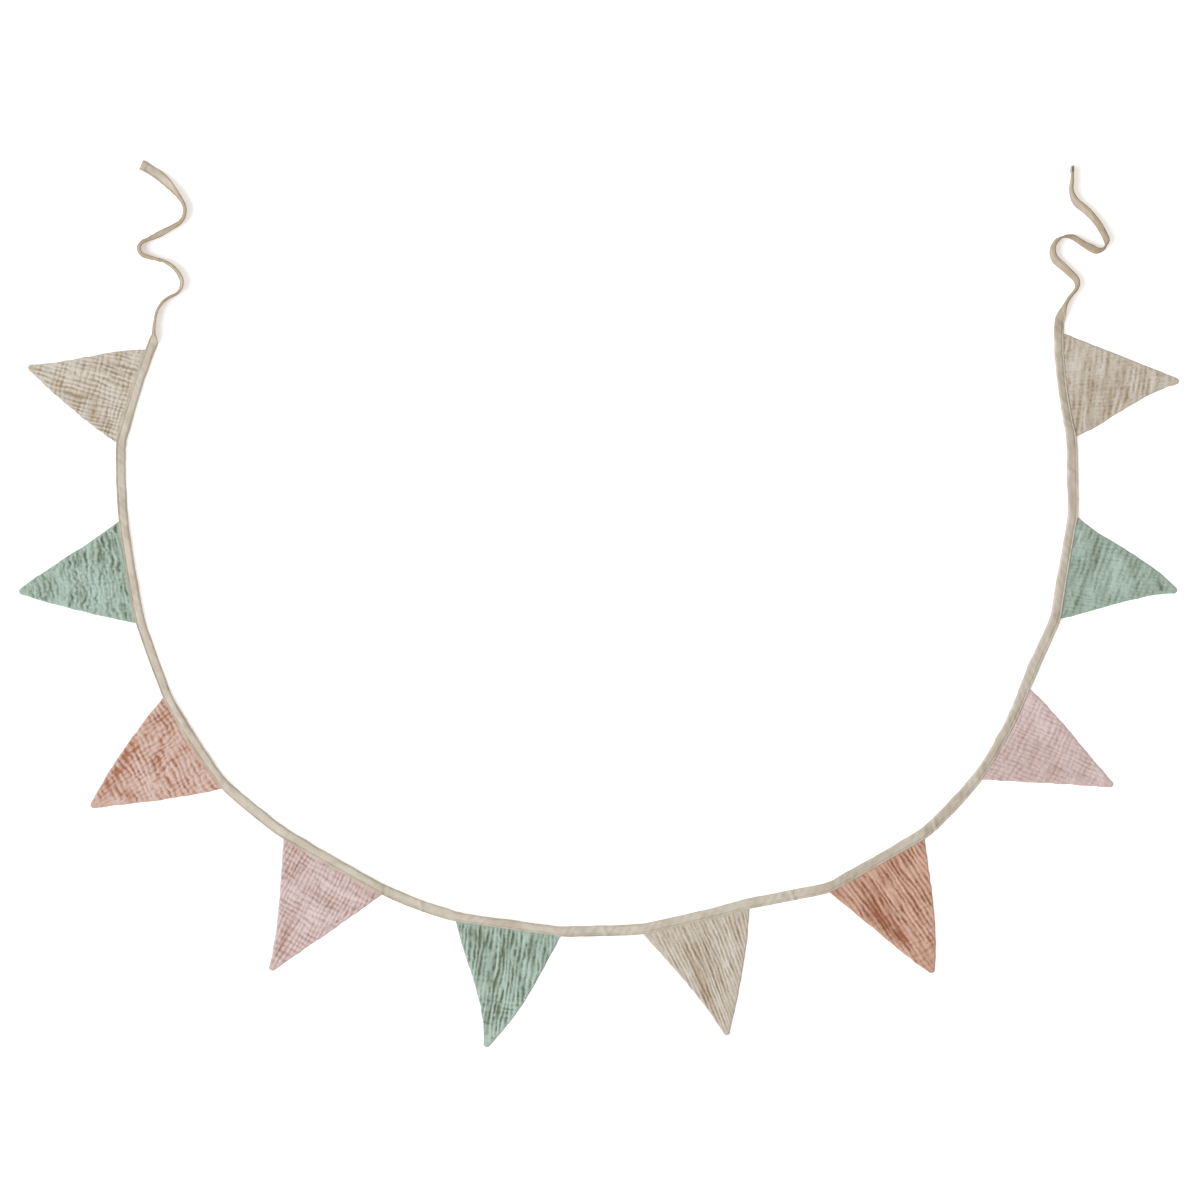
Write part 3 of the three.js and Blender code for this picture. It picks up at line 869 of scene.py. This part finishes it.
def crease_height(station, across):
    """Height of the creases across the tape, negative in a dent."""
    height = np.zeros_like(station)
    for crease in TAPE_CREASES:
        off = station - crease.at - crease.lean * across
        height = height + crease.height * np.exp(-((off / crease.reach) ** 2))
    return height


def pucker_height(station, across):
    """Height of the drag lines, ripples, pulls and creases of the tape's upper face."""
    drag_at = station + DRAG_SLANT * across + DRAG_SWAY * RIPPLE(station / 23, 0.5)
    drag = np.sin(2 * np.pi * drag_at / DRAG_PITCH)
    height = DRAG_HEIGHT * drag * (0.4 + 0.6 * PULL(station / 31, 2.5))
    height = height + RIPPLE_HEIGHT * RIPPLE(station / 6.5, across / 4 + 3)
    height = height + PULL_HEIGHT * PULL(station / 15, across / 9 + 20)
    return height + crease_height(station, across)


def tape_faces_at(station, across):
    """Heights of the tape's lower and upper face before it is rolled."""
    thick = tape_thickness(station)
    pucker = pucker_height(station, across)
    groove = GROOVE_DEPTH * np.exp(-(((across - STITCH_LINE) / GROOVE_WIDTH) ** 2))
    crown = eased_along(station, TIE_CROWN, [run.crown for run in TAPE_RUNS], GAPS * [GAP_CROWN])
    puff = crown * (1 - (1 - np.clip((STITCH_LINE - across) / CROWN_REACH, 0, 1)) ** 2)
    bend = np.clip((-across - (HALF_WIDTH - FOLD_ROUNDING)) / FOLD_ROUNDING, 0, 1)
    rounding = np.sqrt(1 - bend**2)
    lip = LIP_DROP * smooth((across - (HALF_WIDTH - LIP_WIDTH)) / LIP_WIDTH)
    upper = thick / 2 + (thick / 2 + puff + pucker) * rounding - groove - lip
    lower = thick / 2 * (1 - rounding) + LOWER_GROOVE_SHARE * groove + lip
    return lower + UNDERSIDE_RIPPLE * (1 + RIPPLE(station / 8, across / 5)), upper


def section_places():
    """Places across the tape of its section's points, from the lip round the fold and back inside."""
    top = [1, 0.97, 0.9, 0.82, 0.76, 0.7, 0.65, 0.59, 0.53, 0.44, 0.3, 0.1, -0.1, -0.3, -0.5, -0.66]
    bend = [-0.78, -0.87, -0.94, -0.985]
    below = [-0.94, -0.85, -0.6, -0.2, 0.2, 0.5, 0.65, 0.8, 0.93, 1]
    inside = [1, 0.6, 0.1, -0.4, -0.72]
    across = np.array([*top, *bend, -1, *below, *inside, *inside[::-1]]) * HALF_WIDTH
    kind = ["upper"] * (len(top) + len(bend)) + ["fold"] + ["lower"] * len(below)
    kind += ["inner_lower"] * len(inside) + ["inner_upper"] * len(inside)
    return across, np.array(kind)


def tape_sections(stations):
    """Points of every section of the tape, flat: across and up from its middle line."""
    across, kind = section_places()
    station = np.repeat(stations[:, None], len(across), axis=1)
    spread = np.repeat(across[None, :], len(stations), axis=0)
    lower, upper = tape_faces_at(station, spread)
    thick = tape_thickness(station)
    limb = np.minimum(LIMB_THICKNESS, (upper - lower) * LIMB_SHARE)
    up = np.where(kind == "upper", upper, lower)
    up = np.where(kind == "fold", thick / 2, up)
    up = np.where(kind == "inner_lower", lower + limb, up)
    up = np.where(kind == "inner_upper", upper - limb, up)

    # The fold and the lip wander a little, and each run of the tape is drawn in or spread
    drawn_in = eased_along(station, 0, [run.drawn_in for run in TAPE_RUNS], GAPS * [0])
    spread_out = eased_along(station, 0, len(FLAGS) * [0], [run.spread for run in TAPE_RUNS[:GAPS]])
    fold_wander = 0.3 * WANDER(station / 6.5, 1.5) + 0.55 * WANDER(station / 17, 11.5)
    fold_wander = fold_wander + 0.55 * WANDER(station / 41, 16.5)
    lip_wander = 0.2 * WANDER(station / 5, 6.5)
    fold_share = (HALF_WIDTH - spread) / TAPE_WIDTH
    sway = (drawn_in + fold_wander) * fold_share
    sway = sway + (spread_out + lip_wander) * (1 - fold_share)
    return spread + sway, up - thick / 2


def roll_section(station, across, up):
    """Rolls points of the tape about its middle line; the lift onto the surface is added later."""
    _, _, _, roll = pose_at(station)
    return (
        across * np.cos(roll) - up * np.sin(roll),
        across * np.sin(roll) + up * np.cos(roll),
    )


def tape_mottle_and_painted_shade(station, across):
    """Share of the tape's dark colour at its points: the cloth's own mottling, with painted shade and
    painted highlights.
    """
    shade = eased_along(station, TIE_PAINTED_SHADE, len(FLAGS) * [RUN_SHADE], GAPS * [RUN_SHADE])
    # A painted highlight on a crease's ridge and painted shade in a dent
    shade = shade - CREASE_PAINTED_LIGHT_AND_SHADE * crease_height(station, across)
    mottle = FINE_MOTTLE(station / 9, across / 5 + 2) + MOTTLE(station / 23, across / 9 + 2)
    mottle = mottle + 1.3 * BROAD_MOTTLE(station / 57, across / 12 + 2)
    # Painted shade along the stitch groove
    groove = np.exp(-(((across - STITCH_LINE) / PAINTED_SHADE_WIDTH) ** 2))
    # Painted shade along both edges of the tape, deeper where it stands upright
    edge = smooth((np.abs(across) - HALF_WIDTH + PAINTED_SHADE_WIDTH) / PAINTED_SHADE_WIDTH)
    # Painted shade where the tape stands on edge, as on the ties
    upright = np.sin(pose_at(station)[3]) ** 2
    shade = shade + MOTTLE_SHADE * mottle + GROOVE_PAINTED_SHADE * groove
    shade = shade + (EDGE_PAINTED_SHADE + UPRIGHT_EDGE_PAINTED_SHADE * upright) * edge + UPRIGHT_PAINTED_SHADE * upright
    return np.clip(shade, 0, 1)


def build_tape(material):
    """The tape's cloth, with its stations and the lift that sets each of them on the surface."""
    stations = np.linspace(0, TAPE_LENGTH, round(TAPE_LENGTH / TAPE_STEP) + 1)
    across, up = tape_sections(stations)
    station = np.repeat(stations[:, None], across.shape[1], axis=1)
    level, height = roll_section(station, across, up)
    lift = -height.min(axis=1)
    x, y = beside(station, level)
    points = np.stack([x, y, height + lift[:, None]], axis=-1).reshape(-1, 3) * MM
    rings, count = across.shape
    faces = []
    for k in range(rings - 1):
        for i in range(count):
            a, b = k * count + i, k * count + (i + 1) % count
            faces.append((a, b, b + count, a + count))
    faces.append(tuple(range(count))[::-1])
    faces.append(tuple(range((rings - 1) * count, rings * count)))
    piece = mesh_piece("tape_cloth", points, faces, material)
    flat = np.stack([station, across], axis=-1).reshape(-1, 2) * MM
    cloth_map(piece, flat)
    # Each point of the tape carries its mottling and its share of painted shade
    point_value(piece, "painted_shade", tape_mottle_and_painted_shade(station, across).ravel())
    return piece, stations, lift


# Stitching
def stitch_places():
    """Station, place across and direction of each stitch: a line by the lip and one across each hem."""
    places = []
    for at in np.arange(STITCH_PITCH, TAPE_LENGTH - STITCH_PITCH, STITCH_PITCH):
        places.append((at, STITCH_LINE, 0.0))
    first, last = HEM_LINE_FROM_FOLD - HALF_WIDTH, STITCH_LINE - HEM_LINE_FROM_STITCHES
    for at in (HEM_LENGTH - HEM_LINE_INSET, TAPE_LENGTH - HEM_LENGTH + HEM_LINE_INSET):
        for across in np.arange(first, last, STITCH_PITCH):
            places.append((at, across + STITCH_PITCH / 2, 90.0))
    return places


def stitch_faces(first, face):
    """Faces of one stitch whose points start at a number, turned over on the lower face."""
    sides, rings = STITCH_SIDES, len(STITCH_RINGS)
    faces = []
    for k in range(rings - 1):
        for i in range(sides):
            a, b = first + sides * k + i, first + sides * k + (i + 1) % sides
            faces.append((a, b, b + sides, a + sides)[::face])
    last = first + sides * (rings - 1)
    faces.append(tuple(range(first, first + sides))[::-face])
    faces.append(tuple(range(last, last + sides))[::face])
    return faces


def build_stitches(material, stations, lift):
    """Every stitch of the tape, on both of its faces."""
    shares, thickness, rise = (column[:, None] for column in np.array(STITCH_RINGS).T)
    thickness = thickness * STITCH_RADIUS
    along = shares * STITCH_LENGTH
    sides = np.arange(STITCH_SIDES) * 2 * math.pi / STITCH_SIDES
    jitter = np.random.default_rng(5)
    points, faces = [], []
    for at, across, angle in stitch_places():
        turn = math.radians(angle + jitter.uniform(-STITCH_TWIST, STITCH_TWIST))
        for face in (1, -1):
            s = at + along * math.cos(turn) - thickness * np.cos(sides) * math.sin(turn)
            c = across + along * math.sin(turn) + thickness * np.cos(sides) * math.cos(turn)
            lower, upper = tape_faces_at(s, np.full_like(s, across))
            seat = upper + STITCH_RISE_ABOVE if face > 0 else lower - STITCH_RISE_BELOW
            z = seat + face * (rise + thickness * np.sin(sides))
            level, height = roll_section(s, c, z - tape_thickness(s) / 2)
            x, y = beside(s, level)
            z = np.maximum(height + np.interp(s, stations, lift), SURFACE_CLEARANCE)
            faces.extend(stitch_faces(len(points) * z.size, face))
            points.append(np.stack([x, y, z], axis=-1).reshape(-1, 3))
    return mesh_piece("tape_stitching", np.concatenate(points) * MM, faces, material)


# Materials
@dataclass
class Weave:
    """Pitch of a cloth's threads and depth of their relief in metres, and its sheen."""

    pitch: float
    depth: float
    sheen: float


GAUZE = Weave(0.0009, 0.00018, 0.12)
COTTON = Weave(0.0006, 0.0001, 0.1)
WEFT_SPREAD = 1.08
THREAD_STRAY = 2.0
EVEN = (1, 1, 1)


class Nodes:
    """Adds and links the nodes of one material."""

    def __init__(self, name):
        self.material = bpy.data.materials.new(name)
        self.material.use_nodes = True
        self.tree = self.material.node_tree
        self.shader = self.tree.nodes["Principled BSDF"]

    def add(self, kind, **settings):
        node = self.tree.nodes.new(kind)
        for key, value in settings.items():
            setattr(node, key, value)
        return node

    def link(self, source, target):
        self.tree.links.new(source, target)

    def fill(self, sockets, values):
        """Sets each socket to a number or a colour, or links it to another node's output."""
        for socket, value in zip(sockets, values):
            if isinstance(value, (int, float)):
                socket.default_value = value
            elif isinstance(value, tuple):
                socket.default_value = (*value, 1)
            else:
                self.link(value, socket)

    def surface(self, values):
        """Sets plain values of the surface by their names."""
        for name, value in values.items():
            self.shader.inputs[name].default_value = value

    def math(self, operation, *values):
        node = self.add("ShaderNodeMath", operation=operation)
        self.fill(node.inputs, values)
        return node.outputs[0]

    def mix(self, factor, first, second, blend="MIX"):
        node = self.add("ShaderNodeMix", data_type="RGBA", blend_type=blend)
        self.fill((node.inputs[0], node.inputs[6], node.inputs[7]), (factor, first, second))
        return node.outputs[2]

    def shaded(self, colour, value, gain, level):
        """A colour times a level that a value raises by a gain."""
        return self.mix(1.0, colour, self.math("MULTIPLY_ADD", value, gain, level), "MULTIPLY")

    def noise(self, vector, stretch, scale, detail=2.0):
        mapping = self.add("ShaderNodeMapping")
        mapping.inputs["Scale"].default_value = stretch
        self.link(vector, mapping.inputs["Vector"])
        node = self.add("ShaderNodeTexNoise")
        node.inputs["Scale"].default_value = scale
        node.inputs["Detail"].default_value = detail
        self.link(mapping.outputs[0], node.inputs["Vector"])
        return node.outputs[0]

    def threads(self, vector, direction, pitch):
        """Even threads a pitch apart across a direction, which stray a little."""
        node = self.add("ShaderNodeTexWave", bands_direction=direction, wave_profile="SIN")
        node.inputs["Scale"].default_value = math.pi / (10 * pitch)
        node.inputs["Distortion"].default_value = THREAD_STRAY
        node.inputs["Detail"].default_value = 1.0
        node.inputs["Detail Scale"].default_value = 0.35
        self.link(vector, node.inputs["Vector"])
        return node.outputs["Fac"]

    def bump(self, height, strength, distance):
        node = self.add("ShaderNodeBump")
        node.inputs["Strength"].default_value = strength
        node.inputs["Distance"].default_value = distance
        self.link(height, node.inputs["Height"])
        self.link(node.outputs[0], self.shader.inputs["Normal"])


def cloth_material(name, crest, painted_shade, weave):
    """Woven cloth from its crest colour to the colour of painted shade in its valleys, with slubs and faint
    patches.
    """
    nodes = Nodes(name)
    place = nodes.add("ShaderNodeTexCoord").outputs["UV"]
    warp = nodes.threads(place, "X", weave.pitch)
    weft = nodes.threads(place, "Y", weave.pitch * WEFT_SPREAD)
    crossings = nodes.math("MULTIPLY", warp, weft)
    slub_along = nodes.noise(place, (0.12, 1, 1), 900)
    slub_across = nodes.noise(place, (1, 0.12, 1), 900)
    slub = nodes.math("ADD", slub_along, slub_across)
    cloud = nodes.noise(place, EVEN, 70, 3.0)

    # Share of painted shade that each point of the mesh carries
    depth = nodes.add("ShaderNodeAttribute", attribute_name="painted_shade").outputs["Fac"]
    colour = nodes.mix(depth, crest, painted_shade)
    colour = nodes.shaded(colour, slub, 0.16, 0.84)
    colour = nodes.shaded(colour, cloud, 0.2, 0.9)
    colour = nodes.shaded(colour, crossings, 0.22, 0.9)
    nodes.link(colour, nodes.shader.inputs["Base Color"])
    nodes.link(nodes.math("MULTIPLY_ADD", slub, 0.1, 0.8), nodes.shader.inputs["Roughness"])
    nodes.bump(nodes.math("ADD", crossings, nodes.math("MULTIPLY", slub, 0.5)), 0.6, weave.depth)
    nodes.surface({"Sheen Weight": weave.sheen, "Sheen Roughness": 0.5, "Specular IOR Level": 0.2})
    return nodes.material


def thread_material():
    nodes = Nodes("sewing_thread")
    place = nodes.add("ShaderNodeTexCoord").outputs["Object"]
    shade = nodes.noise(place, EVEN, 500)
    dark = tuple(0.75 * value for value in THREAD_COLOUR)
    nodes.link(nodes.mix(shade, dark, THREAD_COLOUR), nodes.shader.inputs["Base Color"])
    nodes.bump(nodes.noise(place, EVEN, 4000), 0.4, 0.0001)
    nodes.surface({"Roughness": 0.7})
    return nodes.material


# Stage in metres: pale floor that glows faintly to wash out cast shadows, soft light from a window on the
# left, and a camera straight above
FLOOR_REACH = 20.0
FLOOR_DROP = 0.0003
FLOOR_COLOURS = (0.93, 0.93, 0.925), (0.95, 0.95, 0.95)
FLOOR_GLOW = 0.34
SKY_COLOUR = (1.05, 1.0, 0.94)
SKY_STRENGTH = 0.55
WINDOW_DISTANCE = 14.0
WINDOW_SIZE = 11.6
WINDOW_POWER = 1800.0
WINDOW_COLOUR = (0.92, 0.99, 1.08)
WINDOW_ZENITH = 47.0
WINDOW_AZIMUTH = 195.0
VIEW_CENTRE = (0.0015, 0.0051)
VIEW_WIDTH = 1.5735
LENS = 100.0
SENSOR = 36.0


def floor_material():
    nodes = Nodes("glowing_pale_floor")
    place = nodes.add("ShaderNodeTexCoord").outputs["Object"]
    shade = nodes.noise(place, EVEN, 3)
    nodes.link(nodes.mix(shade, *FLOOR_COLOURS), nodes.shader.inputs["Base Color"])
    nodes.surface({"Roughness": 0.9, "Specular IOR Level": 0.1})
    # Painted light: the floor glows, which washes out cast shadows and lights the cloth from below
    nodes.surface({"Emission Color": (1, 1, 1, 1), "Emission Strength": FLOOR_GLOW})
    return nodes.material


def add_floor():
    ways = ((-1, -1, 0), (1, -1, 0), (1, 1, 0), (-1, 1, 0))
    floor = mesh_piece("floor", FLOOR_REACH * np.array(ways), [(0, 1, 2, 3)], floor_material())
    floor.location.z = -FLOOR_DROP


def add_light(scene):
    world = bpy.data.worlds.new("soft_daylight")
    world.use_nodes = True
    background = world.node_tree.nodes["Background"]
    background.inputs["Color"].default_value = (*SKY_COLOUR, 1)
    background.inputs["Strength"].default_value = SKY_STRENGTH
    scene.world = world

    window = bpy.data.lights.new("window_light", "AREA")
    window.shape = "DISK"
    window.size = WINDOW_SIZE
    window.energy = WINDOW_POWER
    window.color = WINDOW_COLOUR
    zenith, azimuth = math.radians(WINDOW_ZENITH), math.radians(WINDOW_AZIMUTH)
    level, up = WINDOW_DISTANCE * math.sin(zenith), WINDOW_DISTANCE * math.cos(zenith)
    lamp = bpy.data.objects.new("window_light", window)
    lamp.location = (level * math.cos(azimuth), level * math.sin(azimuth), up)
    lamp.rotation_euler = (0, -zenith, azimuth - math.pi)
    scene.collection.objects.link(lamp)


def add_camera(scene):
    lens = bpy.data.cameras.new("camera")
    lens.lens = LENS
    lens.sensor_width = SENSOR
    camera = bpy.data.objects.new("camera", lens)
    camera.location = (*VIEW_CENTRE, VIEW_WIDTH * LENS / SENSOR)
    scene.collection.objects.link(camera)
    scene.camera = camera
    scene.view_settings.view_transform = "Standard"


# Pieces: a cloth for each flag, the tape and its stitches, and the stage round them
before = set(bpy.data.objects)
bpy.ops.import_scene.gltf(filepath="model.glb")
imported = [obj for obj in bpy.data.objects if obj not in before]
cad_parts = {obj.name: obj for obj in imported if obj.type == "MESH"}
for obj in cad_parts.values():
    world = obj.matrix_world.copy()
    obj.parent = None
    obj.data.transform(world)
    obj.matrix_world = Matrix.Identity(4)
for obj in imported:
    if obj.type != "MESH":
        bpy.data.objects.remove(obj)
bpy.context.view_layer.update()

gauze = {
    name: cloth_material(f"gauze_{name}", *COLOURS[name], GAUZE)
    for name in ("beige", "sage", "peach", "terracotta", "pink")
}
for index, flag in enumerate(FLAGS):
    cloth, size, area = build_flag(index, gauze[flag.cloth])
    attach(cloth, "root")
    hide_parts(f"flag_{index + 1:02d}")

tape, ring_stations, ring_lift = build_tape(cloth_material("cotton_tape", *COLOURS["tape"], COTTON))
stitching = build_stitches(thread_material(), ring_stations, ring_lift)
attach(tape, "root")
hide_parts("binding_tape")
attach(stitching, "root")

add_floor()
add_light(bpy.context.scene)
add_camera(bpy.context.scene)
